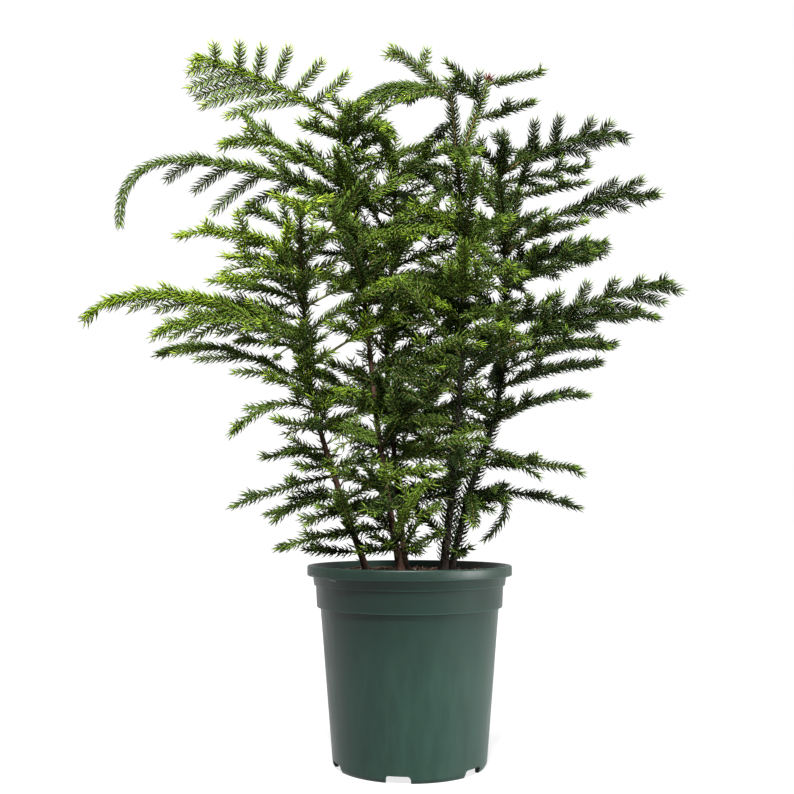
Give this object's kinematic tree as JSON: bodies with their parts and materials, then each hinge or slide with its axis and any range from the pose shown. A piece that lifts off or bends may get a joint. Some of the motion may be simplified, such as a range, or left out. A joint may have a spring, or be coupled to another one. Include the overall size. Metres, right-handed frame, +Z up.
{
  "type": "potted norfolk island pine",
  "caption": "Clump of young Norfolk Island pines with tiered needle sprays, standing in a moulded green grower pot filled with bark potting mix.",
  "frame": {"origin": "middle of the flat underside of the pot", "axes": "+Z up along the stems, +X to the right and +Y away from the viewer as the clump is usually looked at"},
  "size_m": [0.7042, 0.4822, 0.8534],
  "materials": {
    "pot": "satin dark green moulded polypropylene",
    "soil": "damp bark and peat mix with white perlite",
    "bark": "thin flaking reddish-brown bark",
    "bough_bark": "smooth young olive-brown shoots",
    "needles": "waxy deep green needles",
    "needles_bright": "waxy young yellow-green needles"
  },
  "bodies": {
    "root": {"bough_crest_left": "bough_bark", "bough_crest_second": "bough_bark", "bough_front_sweep": "bough_bark", "bough_high_right": "bough_bark", "bough_long_arch": "bough_bark", "bough_long_right": "bough_bark", "bough_low_long": "bough_bark", "bough_sweep_right": "bough_bark", "foliage_back_arch": "needles", "foliage_back_foot": "needles", "foliage_back_high": "needles", "foliage_back_left": "needles", "foliage_back_left_high": "needles", "foliage_back_low": "needles", "foliage_back_middle": "needles", "foliage_back_right": "needles", "foliage_back_right_high": "needles", "foliage_bright_left": "needles_bright", "foliage_crest_back": "needles_bright", "foliage_crest_left": "needles_bright", "foliage_crest_right": "needles_bright", "foliage_crest_second": "needles", "foliage_droop_left": "needles", "foliage_foot_left": "needles", "foliage_front_bright": "needles_bright", "foliage_front_foot": "needles", "foliage_front_high": "needles", "foliage_front_inner": "needles", "foliage_front_low": "needles", "foliage_front_middle": "needles", "foliage_front_rise": "needles_bright", "foliage_front_star": "needles_bright", "foliage_front_sweep": "needles_bright", "foliage_hanging_front": "needles", "foliage_high_left": "needles", "foliage_high_left_back": "needles", "foliage_high_right": "needles", "foliage_inner_right": "needles", "foliage_long_arch": "needles", "foliage_long_right": "needles", "foliage_low_long": "needles_bright", "foliage_lower_left": "needles", "foliage_lower_right": "needles", "foliage_mid_left": "needles", "foliage_mid_left_back": "needles", "foliage_mid_right": "needles", "foliage_short_left": "needles", "foliage_skirt_left": "needles", "foliage_skirt_left_back": "needles", "foliage_skirt_right": "needles", "foliage_skirt_right_back": "needles", "foliage_sweep_right": "needles", "foliage_thin_right": "needles_bright", "pot": "pot", "potting_soil": "soil", "stem_back": "bark", "stem_far_right": "bark", "stem_front": "bark", "stem_left": "bark", "stem_right": "bark"}
  },
  "joints": []
}
